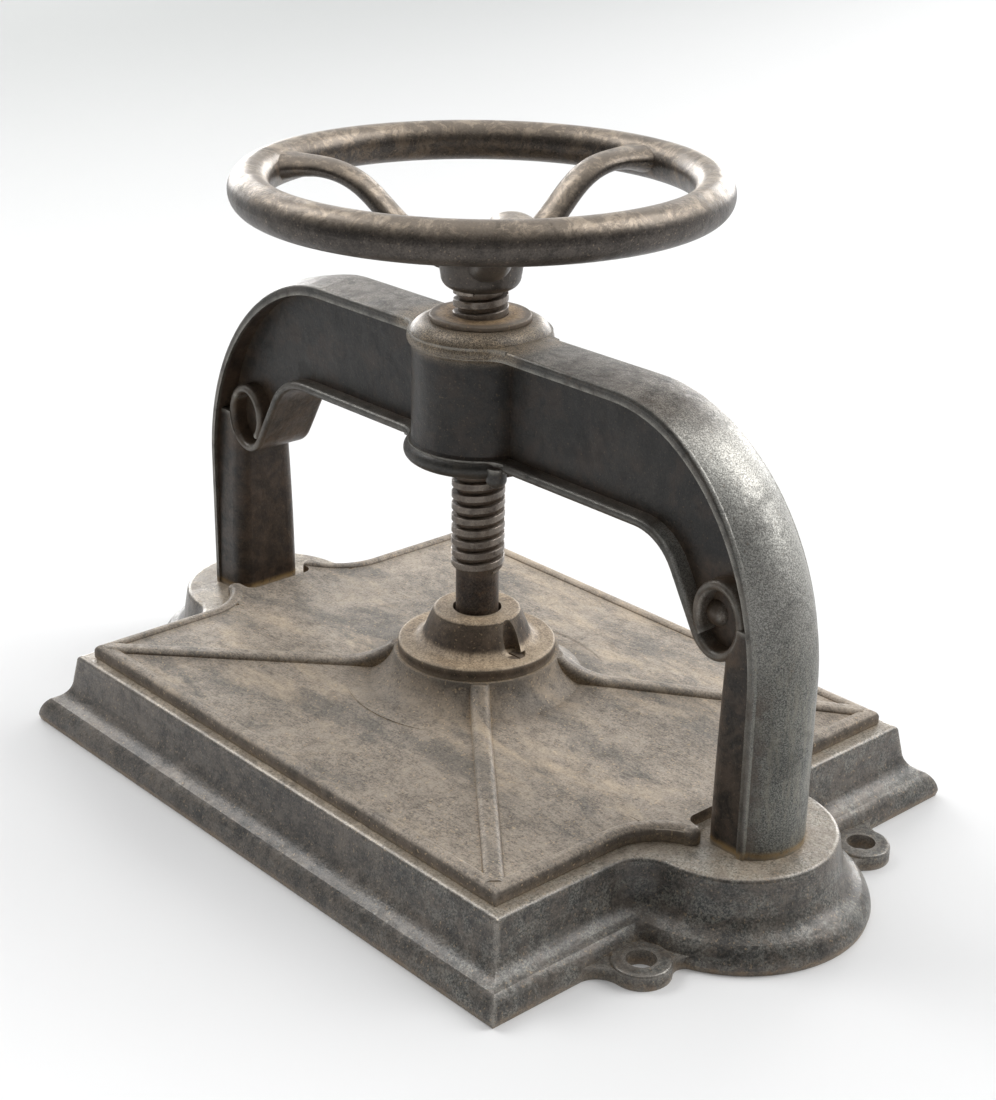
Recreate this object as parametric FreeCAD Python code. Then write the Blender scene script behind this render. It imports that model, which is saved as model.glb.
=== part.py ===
"""Iron bookbinding (copying) press: bed, arched frame, screw, handwheel and guided platen.

Units are millimetres, +Z is up. The origin is on the surface the press stands on, below the
screw. +X runs from column to column and -Y is the front.
"""
import FreeCAD
import Part
import math
import os
from FreeCAD import Vector

INCH = 25.4
UP = Vector(0, 0, 1)
ORIGIN = Vector(0, 0, 0)
SIDES = (-1, 1)

# Bed: a hollow casting with a moulded skirt, a round lobe at each end and four lugs.
BED_HALF_X = 198.0
BED_HALF_Y = 160.3
BED_TOP = 46.0
BED_PLATE = 9.0
SKIRT_REACH = 19.6
LOBE_X = 212.5
LOBE_R = 56.5
LOBE_FILLET = 21.0
LUG_X = 231.0
LUG_Y = 89.3
LUG_R = 16.5
LUG_H = 9.0
LUG_HOLE_R = 8.2
LUG_LOBE_FILLET = 7.0
LUG_SKIRT_FILLET = 14.0
RIB = 8.0
RIB_DROP = 24.0
RIB_X = 68.0

# Arched frame: flat arms, quarter-ellipse haunches, straight columns and scroll volutes.
ARM_TOP = 275.6
ARM_HALF_DEPTH = 20.5
ARM_STRAIGHT = 126.0
HAUNCH_X = 114.5
HAUNCH_Z = 137.6
ARM_FLANGE = 6.5
ARM_CROWN = 1.2
COLUMN_HALF_DEPTH = 26.0
COLUMN_FLANGE = 4.5
COLUMN_CROWN = 12.0
COLUMN_INNER_X = 211.5
COLUMN_WEB_HALF = 24.8
COLUMN_WEB_NECK = 21.4
COLUMN_WEB_CORNER = 9.0
COLUMN_WEB_TOP = 150.0
PANEL_HALF = 10.5
FLANGE_EDGE_R = 2.4
STRIP = 5.5
STRIP_HALF_DEPTH = 20.9
SOFFIT_Z = 204.5
SCROLL_X = 206.5
SCROLL_Z = 171.7
SCROLL_RX = 16.2
SCROLL_RZ = 20.2
SCROLL_FROM = 215.0
SCROLL_SPLIT = 400.0
SCROLL_TO = 582.0
SCROLL_CLOSE = 0.24
SCROLL_FLOOR = 0.95
EYE_X = 199.6
EYE_Z = 170.5
EYE_R = 8.0
EYE_PROUD = 5.0
SOFFIT_BEND_R = 34.0

# Boss in the middle of the arch and the nut bush let into it.
BOSS_R = 39.6
BOSS_RIM_R = 41.6
BOSS_TOP = 282.0
BOSS_FOOT = 198.8
COLLAR_R = 44.2
BOSS_BLEND_R = 14.0
STUB_R = 6.0
STUB_AT = (37.0, -19.5, 194.5)
BUSH_R = 22.0
BUSH_FLANGE_R = 29.3
BUSH_FLANGE = 2.7

# Screw: 1 1/4 in square thread, 3 1/2 turns to the inch, right hand.
THREAD_R = 1.25 * INCH / 2
THREAD_PITCH = INCH / 3.5
THREAD_DEPTH = 2.95
CREST_SHARE = 0.57
CREST_WEAR = 0.35
ROOT_R = THREAD_R - THREAD_DEPTH
THREAD_FOOT = 127.0
THREAD_FADE = 5.5
RUNNING_GAP = 0.08
SEAT_Z = 300.0
SEAT_SQUARE = 17.0
SEAT_LENGTH = 24.0
STUD_END_R = 6.0
STUD_END_Z = 336.6

# Handwheel.
WHEEL_R = 128.6
WHEEL_RIM_R = 11.8
WHEEL_Z = 357.3
SPOKE_ANGLES = (88.0, 208.0, 328.0)
HUB_R = 24.3
HUB_TOP = 326.0
WASHER = 2.4

# Platen: flat below, a rounded bead all round, hipped top and a bell-shaped boss.
PLATEN_HALF_X = 188.8
PLATEN_HALF_Y = 153.3
PLATEN_FOOT = BED_TOP + 0.3
PLATEN_BEAD_TOP = 55.0
BEAD_WIDTH = 9.0
HIP_LOW_Z = 53.1
HIP_HIGH_Z = 59.0
HIP_HIGH_X = 45.0
BELL_TOP = 75.0
BELL_R = 50.0
BELL_SPREAD_R = 80.0
HIP_RIB = 11.5
HIP_RIB_ROUND = 3.9
TONGUE_REACH = 208.5
TONGUE_ARC_R = 34.8
TONGUE_ARC_Y = 68.0
TONGUE_BLOCK_X = 174.0
TONGUE_BLOCK_HALF = 46.0
NOTCH_X = 199.0
NOTCH_HALF = 26.0
NOTCH_CORNER = 7.0
POCKET_R = 21.5
POCKET_FLOOR = 55.0

# Keeper and thrust parts.
KEEPER_FOOT = 75.0
KEEPER_FLANGE_TOP = 82.4
KEEPER_TOP = 102.4
KEEPER_R = 47.7
KEEPER_BORE_R = 14.7
KEEPER_SCREW_X = 34.0
KEEPER_SCREW_R = 3.15
PAD = 4.0
THRUST_GAP = 0.4
THRUST_R = 20.0
THRUST_PIN_R = 3.0

# Column fixings.
STUD_X = 230.0
STUD_HALF_SPACING = 11.0
STUD_R = 5.0
STUD_NUT_FLATS = 17.0
STUD_NUT = 9.0
STUD_WASHER_R = 10.0
STUD_REACH = 18.0
DOWEL_X = 244.0
DOWEL_R = 3.0


def chain(to_space, start, *steps):
    """A wire from start: a step (x, y) is a line, a step (mx, my, x, y) an arc through (mx, my)."""
    here = to_space(*start)
    edges = []
    for step in steps:
        there = to_space(*step[-2:])
        if len(step) == 2:
            edges.append(Part.makeLine(here, there))
        else:
            edges.append(Part.Arc(here, to_space(*step[:2]), there).toShape())
        here = there
    return Part.Wire(edges)


def profile_space(x, z):
    """The X-Z plane, used for profiles turned about the screw axis and for front outlines."""
    return Vector(x, 0, z)


def turned(start, *steps):
    """A solid of revolution about the screw axis from a closed (radius, z) outline."""
    return Part.Face(chain(profile_space, start, *steps, start)).revolve(ORIGIN, UP, 360)


def tube(outer_r, inner_r, foot, top):
    """A plain ring about the screw axis."""
    ring = Part.makeCylinder(outer_r, top - foot, Vector(0, 0, foot))
    return ring.cut(Part.makeCylinder(inner_r, top - foot, Vector(0, 0, foot)))


def hexagon_nut(flats, bore_r, foot, top):
    """A hexagon nut with its corners chamfered by a cone, about the screw axis."""
    corner_r = flats / math.sqrt(3)
    corners = []
    for i in range(7):
        angle = math.radians(60 * i)
        corners.append(Vector(corner_r * math.cos(angle), corner_r * math.sin(angle), foot))
    body = Part.Face(Part.makePolygon(corners)).extrude(Vector(0, 0, top - foot))
    bevel = 0.12 * flats
    dome = Part.makeCone(corner_r + bevel, flats / 2, top - foot, Vector(0, 0, foot))
    shaped = body.common(dome.fuse(Part.makeCylinder(flats / 2, top - foot, Vector(0, 0, foot))))
    return shaped.cut(Part.makeCylinder(bore_r, top - foot, Vector(0, 0, foot)))


def mirrored(shape, normal):
    """The shape's mirror image in the plane through the origin with this normal."""
    return shape.mirror(ORIGIN, normal)


def both_halves(wire):
    """A closed wire from an open half and its mirror image in the Y-Z plane."""
    halves = wire.Edges + mirrored(wire, Vector(1, 0, 0)).Edges
    return Part.Wire(Part.__sortEdges__(halves))


def rectangle(half_x, half_y):
    """A rectangle about the origin, as a closed plan wire."""
    return chain(
        lambda x, y: Vector(x, y, 0),
        (-half_x, -half_y),
        (half_x, -half_y),
        (half_x, half_y),
        (-half_x, half_y),
        (-half_x, -half_y),
    )


def plate(wire, foot, top):
    """A flat plate between two heights from a closed plan wire drawn at z = 0."""
    solid = Part.Face(wire).extrude(Vector(0, 0, top - foot))
    solid.translate(Vector(0, 0, foot))
    return solid


def upright_edges(solid):
    """The straight vertical edges of a solid."""
    return [edge for edge in solid.Edges
            if len(edge.Vertexes) == 2
            and abs(edge.Vertexes[0].X - edge.Vertexes[1].X) < 1e-6
            and abs(edge.Vertexes[0].Y - edge.Vertexes[1].Y) < 1e-6]


# ---------------------------------------------------------------- bed

def bed_outline(offset=0.0):
    """Plan outline of the bed top, grown outward by offset, as a closed wire."""
    half_x = BED_HALF_X + offset
    half_y = BED_HALF_Y + offset
    lobe_r = LOBE_R + offset
    fillet_r = LOBE_FILLET - offset
    centre_x = BED_HALF_X + LOBE_FILLET
    span = LOBE_R + LOBE_FILLET
    lean_x = (centre_x - LOBE_X) / span
    lean_y = math.sqrt(1 - lean_x ** 2)
    centre_y = lean_y * span
    touch = (LOBE_X + lobe_r * lean_x, lobe_r * lean_y)
    middle_x = -(1 + lean_x)
    middle_y = -lean_y
    length = math.hypot(middle_x, middle_y)
    middle = (centre_x + fillet_r * middle_x / length, centre_y + fillet_r * middle_y / length)
    half = chain(
        lambda x, y: Vector(x, y, 0),
        (0, -half_y),
        (half_x, -half_y),
        (half_x, -centre_y),
        (middle[0], -middle[1], touch[0], -touch[1]),
        (LOBE_X + lobe_r, 0, *touch),
        (*middle, half_x, centre_y),
        (half_x, half_y),
        (0, half_y),
    )
    return both_halves(half)


def skirt_profile():
    """Section of the moulded skirt: batter, cove and rounded toe outside, even wall inside."""
    return chain(
        lambda out, z: Vector(0, -BED_HALF_Y - out, z),
        (-10, BED_TOP),
        (-3, BED_TOP),
        (-0.8, BED_TOP - 0.8, 0.3, BED_TOP - 3),
        (2.6, 29),
        (6.0, 20.5, 13.6, 15.2),
        (17.8, 9.8, SKIRT_REACH, 3.6),
        (SKIRT_REACH - 0.9, 0),
        (9, 0),
        (9, 7),
        (-5, 22),
        (-8, BED_TOP - BED_PLATE),
        (-10, BED_TOP - BED_PLATE),
        (-10, BED_TOP),
    )


def fillet_between(centre_a, radius_a, centre_b, radius_b, fillet_r):
    """Hollow fillet joining two circles: its touch points on a and b, and its middle point."""
    away = centre_b - centre_a
    reach_a = radius_a + fillet_r
    reach_b = radius_b + fillet_r
    along = (reach_a ** 2 - reach_b ** 2 + away.Length ** 2) / (2 * away.Length)
    across = math.sqrt(reach_a ** 2 - along ** 2)
    forward = Vector(away).normalize()
    centre = centre_a + forward * along + Vector(-forward.y, forward.x, 0) * across
    to_a = (centre_a - centre).normalize()
    to_b = (centre_b - centre).normalize()
    middle = (to_a + to_b).normalize()
    return centre + to_a * fillet_r, centre + middle * fillet_r, centre + to_b * fillet_r


def lug():
    """One screw-down lug, at +X +Y, with hollow fillets to the lobe and to the skirt's toe."""
    centre = Vector(LUG_X, LUG_Y, 0)
    toe_x = BED_HALF_X + SKIRT_REACH - 1
    on_lug, mid_lobe, on_lobe = fillet_between(centre, LUG_R, Vector(LOBE_X, 0, 0),
                                               LOBE_R + SKIRT_REACH - 1, LUG_LOBE_FILLET)
    skirt_x = toe_x + LUG_SKIRT_FILLET
    reach = LUG_R + LUG_SKIRT_FILLET
    skirt_y = LUG_Y + math.sqrt(reach ** 2 - (skirt_x - LUG_X) ** 2)
    to_lug = Vector(LUG_X - skirt_x, LUG_Y - skirt_y, 0).normalize()
    to_middle = (to_lug + Vector(-1, 0, 0)).normalize()
    touch = Vector(skirt_x, skirt_y, 0) + to_lug * LUG_SKIRT_FILLET
    middle = Vector(skirt_x, skirt_y, 0) + to_middle * LUG_SKIRT_FILLET
    web = chain(
        lambda x, y: Vector(x, y, 0),
        (toe_x - 8, skirt_y),
        (toe_x, skirt_y),
        (middle.x, middle.y, touch.x, touch.y),
        (on_lug.x, on_lug.y),
        (mid_lobe.x, mid_lobe.y, on_lobe.x, on_lobe.y),
        (toe_x - 8, on_lobe.y - 6),
        (toe_x - 8, skirt_y),
    )
    post = Part.makeCylinder(LUG_R, LUG_H, centre)
    post = post.makeFillet(1.6, [post.Edges[0]])
    return post.fuse(plate(web, 0, LUG_H - 1.2))


def make_bed():
    """Hollow bed casting with lobes, lugs and ribs below the top plate."""
    skirt = bed_outline().makePipeShell([skirt_profile()], True, False, 1)
    bed = skirt.fuse(plate(bed_outline(-9), BED_TOP - BED_PLATE, BED_TOP))
    rib_foot = BED_TOP - BED_PLATE - RIB_DROP
    rib_height = RIB_DROP + 1
    inner_x = BED_HALF_X - 5
    inner_y = BED_HALF_Y - 5
    ribs = [Part.makeBox(2 * inner_x, RIB, rib_height, Vector(-inner_x, -RIB / 2, rib_foot))]
    for x in (-RIB_X, RIB_X):
        ribs.append(Part.makeBox(RIB, 2 * inner_y, rib_height, Vector(x - RIB / 2, -inner_y, rib_foot)))
    bed = bed.fuse(ribs)
    holes = []
    for side_x in SIDES:
        holes.append(Part.makeCylinder(DOWEL_R, 30, Vector(side_x * DOWEL_X, 0, 30)))
        for side_y in SIDES:
            one = lug()
            if side_x < 0:
                one = mirrored(one, Vector(1, 0, 0))
            if side_y < 0:
                one = mirrored(one, Vector(0, 1, 0))
            bed = bed.fuse(one)
            stud_at = Vector(side_x * STUD_X, side_y * STUD_HALF_SPACING, 30)
            holes.append(Part.makeCylinder(STUD_R + 0.5, 30, stud_at))
            holes.append(Part.makeCylinder(LUG_HOLE_R, 30, Vector(side_x * LUG_X, side_y * LUG_Y, 0)))
    return bed.cut(holes).removeSplitter()


# ---------------------------------------------------------------- arched frame

def haunch_point(turn):
    """Outer edge of the right haunch: turn 0 is the end of the arm, 90 the head of the column."""
    angle = math.radians(turn)
    return (ARM_STRAIGHT + HAUNCH_X * math.sin(angle), ARM_TOP - HAUNCH_Z * (1 - math.cos(angle)))


def flange_section(turn, at):
    """Closed section of the outer flange, square to the arch's edge at a point of that edge."""
    angle = math.radians(turn)
    outward = Vector(HAUNCH_Z * math.sin(angle), 0, HAUNCH_X * math.cos(angle)).normalize()
    share = math.sin(angle) ** 2
    half = ARM_HALF_DEPTH + (COLUMN_HALF_DEPTH - ARM_HALF_DEPTH) * share
    thick = ARM_FLANGE + (COLUMN_FLANGE - ARM_FLANGE) * share
    crown = ARM_CROWN + (COLUMN_CROWN - ARM_CROWN) * share
    edge = FLANGE_EDGE_R
    near = 0.3 * edge
    centre = Vector(at[0], 0, at[1])
    return chain(
        lambda y, out: centre + Vector(0, y, 0) + outward * out,
        (-half, -thick),
        (-half, -edge),
        (-half + near, -near, -half + edge, 0),
        (0, crown, half - edge, 0),
        (half - near, -near, half, -edge),
        (half, -thick),
        (-half, -thick),
    )


def outer_flange():
    """Arm, haunch and column flange of the right half, as three joined runs."""
    head = haunch_point(90)
    turns = [7.5 * i for i in range(13)]
    haunch = Part.makeLoft([flange_section(turn, haunch_point(turn)) for turn in turns], True, False)
    arm = Part.Face(flange_section(0, (0, ARM_TOP))).extrude(Vector(ARM_STRAIGHT, 0, 0))
    column = Part.Face(flange_section(90, head)).extrude(Vector(0, 0, BED_TOP - head[1]))
    return [haunch, arm, column]


def scroll_point(angle):
    """Centre line of the scroll strip: an oval turn that closes in and meets its own start."""
    share = (angle - SCROLL_FROM) / (SCROLL_TO - SCROLL_FROM)
    size = 1.05 - SCROLL_CLOSE * share ** 1.5
    turn = math.radians(angle)
    run = SCROLL_RX * size * math.cos(turn)
    rise = SCROLL_RZ * size * math.sin(turn)
    return Vector(SCROLL_X + run, 0, SCROLL_Z + rise)


def soffit_path():
    """Centre line of the soffit strip: along the arm, round the S-bend and into the scroll."""
    start = scroll_point(SCROLL_FROM)
    heading = (scroll_point(SCROLL_FROM + 0.5) - start).normalize()
    level = SOFFIT_Z + STRIP / 2
    run = (level - start.z) / -heading.z
    corner = start - heading * run
    half_turn = math.acos(heading.x) / 2
    reach = SOFFIT_BEND_R * math.tan(half_turn)
    bend_start = Vector(corner.x - reach, 0, level)
    bend_end = corner + heading * reach
    bend_centre = bend_start - Vector(0, 0, SOFFIT_BEND_R)
    bend_middle = bend_centre + Vector(math.sin(half_turn), 0, math.cos(half_turn)) * SOFFIT_BEND_R
    return [
        Part.makeLine(Vector(BOSS_R - 6, 0, level), bend_start),
        Part.Arc(bend_start, bend_middle, bend_end).toShape(),
        Part.makeLine(bend_end, start),
        scroll_edge(SCROLL_FROM, SCROLL_SPLIT),
    ]


def scroll_edge(first, last):
    """Stretch of the scroll's centre line between two angles."""
    steps = 12
    curve = Part.BSplineCurve()
    curve.interpolate(Points=[scroll_point(first + (last - first) * i / steps) for i in range(steps + 1)])
    return curve.toShape()


def strip_along(edges):
    """Strip with rounded edges, as deep as the arm, swept along a path in the X-Z plane."""
    start = edges[0].valueAt(edges[0].FirstParameter)
    along = edges[0].tangentAt(edges[0].FirstParameter)
    across = Vector(-along.z, 0, along.x)
    half = STRIP_HALF_DEPTH - STRIP / 2
    section = chain(
        lambda y, rise: start + Vector(0, y, 0) + across * rise,
        (-half, -STRIP / 2),
        (half, -STRIP / 2),
        (half + STRIP / 2, 0, half, STRIP / 2),
        (-half, STRIP / 2),
        (-half - STRIP / 2, 0, -half, -STRIP / 2),
    )
    return Part.Wire(edges).makePipeShell([section], True, False, 1)


def arch_panel():
    """Recessed web between the outer flange and the soffit strip, right half."""
    path = soffit_path()
    bend_start = path[1].Vertexes[0].Point
    bend_end = path[1].Vertexes[1].Point
    bend_middle = path[1].valueAt(sum(path[1].ParameterRange) / 2)
    inset = ARM_FLANGE / 2
    shoulder = haunch_point(45)
    head = haunch_point(90)
    level = bend_start.z
    outline = chain(
        lambda x, z: Vector(x, -PANEL_HALF, z),
        (0, level),
        (bend_start.x, level),
        (bend_middle.x, bend_middle.z, bend_end.x, bend_end.z),
        (SCROLL_X - SCROLL_RX, SCROLL_Z),
        (SCROLL_X, SCROLL_Z - SCROLL_RZ),
        (head[0] - inset, SCROLL_Z - SCROLL_RZ),
        (head[0] - inset, head[1]),
        (shoulder[0] - inset, shoulder[1] - inset, ARM_STRAIGHT, ARM_TOP - inset),
        (0, ARM_TOP - inset),
        (0, level),
    )
    panel = Part.Face(outline).extrude(Vector(0, 2 * PANEL_HALF, 0))
    return panel.fuse(scroll_core(PANEL_HALF, SCROLL_FLOOR))


def scroll_eyes():
    """Domed eye on the floor of the scroll, front and back."""
    centre_y = PANEL_HALF + EYE_PROUD - EYE_R
    return [Part.makeSphere(EYE_R, Vector(EYE_X, side * centre_y, EYE_Z)) for side in SIDES]


def scroll_core(half_depth, size):
    """An oval block of the scroll's shape, used for its floor and for the room inside it."""
    centre = Vector(SCROLL_X, -half_depth, SCROLL_Z)
    tall = centre + Vector(0, 0, SCROLL_RZ * size)
    wide = centre + Vector(SCROLL_RX * size, 0, 0)
    oval = Part.Ellipse(tall, wide, centre)
    return Part.Face(Part.Wire(oval.toShape())).extrude(Vector(0, 2 * half_depth, 0))


def web_section(half, z):
    """Column web in plan: square to the flange, rounded on its inner corners."""
    inner = COLUMN_INNER_X
    outer = haunch_point(90)[0] - 2
    corner = COLUMN_WEB_CORNER
    near = corner * (1 - math.sqrt(0.5))
    return chain(
        lambda x, y: Vector(x, y, z),
        (outer, -half),
        (inner + corner, -half),
        (inner + near, -half + near, inner, -half + corner),
        (inner, half - corner),
        (inner + near, half - near, inner + corner, half),
        (outer, half),
        (outer, -half),
    )


def column_web():
    """Inner part of the right column: it narrows from the foot towards the scroll."""
    middle_z = (BED_TOP + COLUMN_WEB_TOP) / 2
    middle_half = COLUMN_WEB_NECK + 0.7 * (COLUMN_WEB_HALF - COLUMN_WEB_NECK)
    shaft = Part.makeLoft([
        web_section(COLUMN_WEB_HALF, BED_TOP),
        web_section(middle_half, middle_z),
        web_section(COLUMN_WEB_NECK, COLUMN_WEB_TOP),
    ], True, False)
    neck = Part.Face(web_section(COLUMN_WEB_NECK, COLUMN_WEB_TOP)).extrude(
        Vector(0, 0, SCROLL_Z - COLUMN_WEB_TOP))
    return [shaft, neck.cut(scroll_core(COLUMN_WEB_NECK + 1, 1.0))]


def boss_flare(foot, top):
    """Plate that carries the arms' edges round the boss with a hollow blend on each side."""
    rim = BOSS_RIM_R
    blend = BOSS_BLEND_R
    centre_y = ARM_HALF_DEPTH + blend
    centre_x = math.sqrt((rim + blend) ** 2 - centre_y ** 2)
    touch = (centre_x * rim / (rim + blend), centre_y * rim / (rim + blend))
    middle = (centre_x - 0.47 * blend, centre_y - 0.88 * blend)
    quarter = math.radians(25)
    near_front = (rim * math.sin(quarter), rim * math.cos(quarter))
    half = chain(
        lambda x, y: Vector(x, y, 0),
        (0, -rim),
        (near_front[0], -near_front[1], touch[0], -touch[1]),
        (middle[0], -middle[1], centre_x, -ARM_HALF_DEPTH),
        (centre_x, ARM_HALF_DEPTH),
        (*middle, *touch),
        (*near_front, 0, rim),
    )
    return plate(both_halves(half), foot, top)


def boss():
    """Turned boss with a torus collar below and a soft shoulder above, before boring."""
    mid_r = COLLAR_R - 5.7
    return turned(
        (0, BOSS_FOOT),
        (mid_r, BOSS_FOOT),
        (COLLAR_R, BOSS_FOOT + 5.7, BOSS_R + 1.2, BOSS_FOOT + 10.6),
        (BOSS_R, BOSS_FOOT + 13),
        (BOSS_R, 265.5),
        (BOSS_R + 0.4, 267.4, BOSS_RIM_R, 269.5),
        (BOSS_RIM_R + 0.6, 272.6, BOSS_RIM_R - 1.2, 275.6),
        (36.5, 280.0, BUSH_FLANGE_R, BOSS_TOP - 0.3),
        (BUSH_R, BOSS_TOP),
        (0, BOSS_TOP),
    )


def make_arch_frame():
    """The arch as one casting: columns, haunches, arms, scrolls and boss."""
    half = outer_flange() + column_web() + [arch_panel()] + scroll_eyes()
    half += [strip_along(soffit_path()), strip_along([scroll_edge(SCROLL_SPLIT, SCROLL_TO)])]
    pieces = list(half)
    for piece in half:
        pieces.append(mirrored(piece, Vector(1, 0, 0)))
    flare = boss_flare(ARM_TOP - ARM_FLANGE, ARM_TOP)
    lower = boss_flare(SOFFIT_Z, SOFFIT_Z + STRIP)
    stub = Part.makeCylinder(STUB_R, 2 * STUB_R, Vector(*STUB_AT))
    stub = stub.makeFillet(0.8 * STUB_R, [stub.Edges[2]])
    arch = boss().fuse(pieces + [flare, lower, stub])
    bores = [Part.makeCylinder(BUSH_R, 100, Vector(0, 0, BOSS_FOOT - 5))]
    bores.append(Part.makeCylinder(4, 40, Vector(0, 10, 240), Vector(0, 1, 0)))
    for side_x in SIDES:
        bores.append(Part.makeCylinder(DOWEL_R, 12, Vector(side_x * DOWEL_X, 0, BED_TOP)))
        for side_y in SIDES:
            foot = Vector(side_x * STUD_X, side_y * STUD_HALF_SPACING, BED_TOP)
            bores.append(Part.makeCylinder(STUD_R, STUD_REACH + 2, foot))
    return arch.cut(bores)


# ---------------------------------------------------------------- nut bush and its lock screw

def make_nut_bush():
    """Flanged nut bush. Its bore clears the thread's crest by the running gap."""
    bush = turned(
        (THREAD_R + RUNNING_GAP, BOSS_FOOT),
        (BUSH_R, BOSS_FOOT),
        (BUSH_R, BOSS_TOP),
        (BUSH_FLANGE_R, BOSS_TOP),
        (BUSH_FLANGE_R, BOSS_TOP + BUSH_FLANGE - 0.8),
        (BUSH_FLANGE_R - 0.3, BOSS_TOP + BUSH_FLANGE - 0.3, BUSH_FLANGE_R - 1, BOSS_TOP + BUSH_FLANGE),
        (THREAD_R + RUNNING_GAP, BOSS_TOP + BUSH_FLANGE),
    )
    return bush.cut(Part.makeCylinder(4, 5, Vector(0, 20.5, 240), Vector(0, 1, 0)))


def make_bush_lock_screw():
    """Slotted grub screw through the back of the boss into the bush."""
    screw = Part.makeCylinder(4, 18, Vector(0, 20.5, 240), Vector(0, 1, 0))
    return screw.cut(Part.makeBox(9, 2, 1.2, Vector(-4.5, 37, 239.4)))


# ---------------------------------------------------------------- screw

def thread_ridge(foot, top):
    """Square ridge with worn crest corners, wound on the root cylinder."""
    half = CREST_SHARE * THREAD_PITCH / 2
    wear = CREST_WEAR
    section = chain(
        profile_space,
        (ROOT_R - 0.6, -half),
        (THREAD_R - wear, -half),
        (THREAD_R, -half + wear),
        (THREAD_R, half - wear),
        (THREAD_R - wear, half),
        (ROOT_R - 0.6, half),
        (ROOT_R - 0.6, -half),
    )
    helix = Part.Wire(Part.makeHelix(THREAD_PITCH, top - foot, ROOT_R))
    ridge = helix.makePipeShell([section], True, True).Solids[0]
    ridge.translate(Vector(0, 0, foot))
    return ridge


def make_screw_spindle():
    """Screw with a plain neck below, a square seat for the wheel and a threaded end above."""
    foot = POCKET_FLOOR + PAD + THRUST_GAP
    reach = THREAD_R + 1
    envelope = turned(
        (0, foot),
        (ROOT_R, foot),
        (ROOT_R, THREAD_FOOT),
        (reach, THREAD_FOOT + THREAD_FADE),
        (reach, SEAT_Z),
        (0, SEAT_Z),
    )
    core = Part.makeCylinder(ROOT_R, SEAT_Z - foot, Vector(0, 0, foot))
    spindle = core.fuse(thread_ridge(THREAD_FOOT, SEAT_Z)).common(envelope)
    half = SEAT_SQUARE / 2
    seat = Part.makeBox(SEAT_SQUARE, SEAT_SQUARE, SEAT_LENGTH, Vector(-half, -half, SEAT_Z))
    end = Part.makeCylinder(STUD_END_R, STUD_END_Z - SEAT_Z, Vector(0, 0, SEAT_Z))
    end = end.makeChamfer(1, [end.Edges[0]])
    spindle = spindle.fuse([seat, end])
    pin_hole = Part.makeCylinder(THRUST_PIN_R, 60, Vector(-30, 0, thrust_pin_z()), Vector(1, 0, 0))
    return spindle.cut(pin_hole)


# ---------------------------------------------------------------- handwheel

def spoke(angle):
    """One S-shaped spoke, lofted through ovals square to its centre line, wider at both ends."""
    stations = (
        (10, 314, 11.5, 8.5),
        (32, 319.5, 10.5, 7.4),
        (50, 331, 10, 6.4),
        (63, 343.5, 9.8, 5.8),
        (75, 353, 10, 5.6),
        (90, 358.6, 10.6, 5.5),
        (105, 359.6, 12.5, 6),
        (115, 358.8, 16, 7.2),
        (127, 357.6, 24, 9.4),
    )
    ovals = []
    for index, (radius, height, half_width, half_thick) in enumerate(stations):
        before = stations[max(index - 1, 0)]
        after = stations[min(index + 1, len(stations) - 1)]
        along = Vector(after[0] - before[0], 0, after[1] - before[1]).normalize()
        across = Vector(-along.z, 0, along.x)
        centre = Vector(radius, 0, height)
        oval = Part.Ellipse(centre + Vector(0, half_width, 0), centre + across * half_thick, centre)
        ovals.append(Part.Wire(oval.toShape()))
    solid = Part.makeLoft(ovals, True, False)
    solid.rotate(ORIGIN, UP, angle)
    return solid


def make_handwheel():
    """Round rim, three spokes and hub, with a square hole for the screw's seat."""
    rim = Part.makeTorus(WHEEL_R, WHEEL_RIM_R, Vector(0, 0, WHEEL_Z))
    hub = turned(
        (0, SEAT_Z),
        (15.6, SEAT_Z),
        (21.0, SEAT_Z + 2.2, 23.0, SEAT_Z + 7),
        (HUB_R, SEAT_Z + 15),
        (HUB_R, HUB_TOP - 4),
        (HUB_R - 1.2, HUB_TOP - 1.2, HUB_R - 4, HUB_TOP),
        (0, HUB_TOP),
    )
    wheel = hub.fuse([rim] + [spoke(angle) for angle in SPOKE_ANGLES])
    half = SEAT_SQUARE / 2 + 0.05
    return wheel.cut(Part.makeBox(2 * half, 2 * half, 60, Vector(-half, -half, SEAT_Z - 5)))


def make_wheel_washer():
    """Plain washer on the hub."""
    return tube(14, STUD_END_R + 0.3, HUB_TOP, HUB_TOP + WASHER)


def make_wheel_nut():
    """Hexagon nut that holds the wheel on its seat."""
    return hexagon_nut(22, STUD_END_R, HUB_TOP + WASHER, STUD_END_Z - 1)


# ---------------------------------------------------------------- platen

def tongue_outer_y():
    """Half the platen's depth at the ends of its tongues."""
    run = PLATEN_HALF_X + TONGUE_ARC_R - TONGUE_REACH
    return TONGUE_ARC_Y - math.sqrt(TONGUE_ARC_R ** 2 - run ** 2)


def platen_edge():
    """Outer edge of the platen's front half, from one tongue tip round to the other."""
    half_x = PLATEN_HALF_X
    half_y = PLATEN_HALF_Y
    radius = TONGUE_ARC_R
    centre_x = half_x + radius
    centre_y = -TONGUE_ARC_Y
    tip_y = -tongue_outer_y()
    lean = math.radians(52)
    middle = (centre_x - radius * math.cos(lean), centre_y + radius * math.sin(lean))
    return chain(
        lambda x, y: Vector(x, y, 0),
        (TONGUE_REACH, tip_y),
        (*middle, half_x, centre_y),
        (half_x, -half_y),
        (-half_x, -half_y),
        (-half_x, centre_y),
        (-middle[0], middle[1], -TONGUE_REACH, tip_y),
    )


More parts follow.
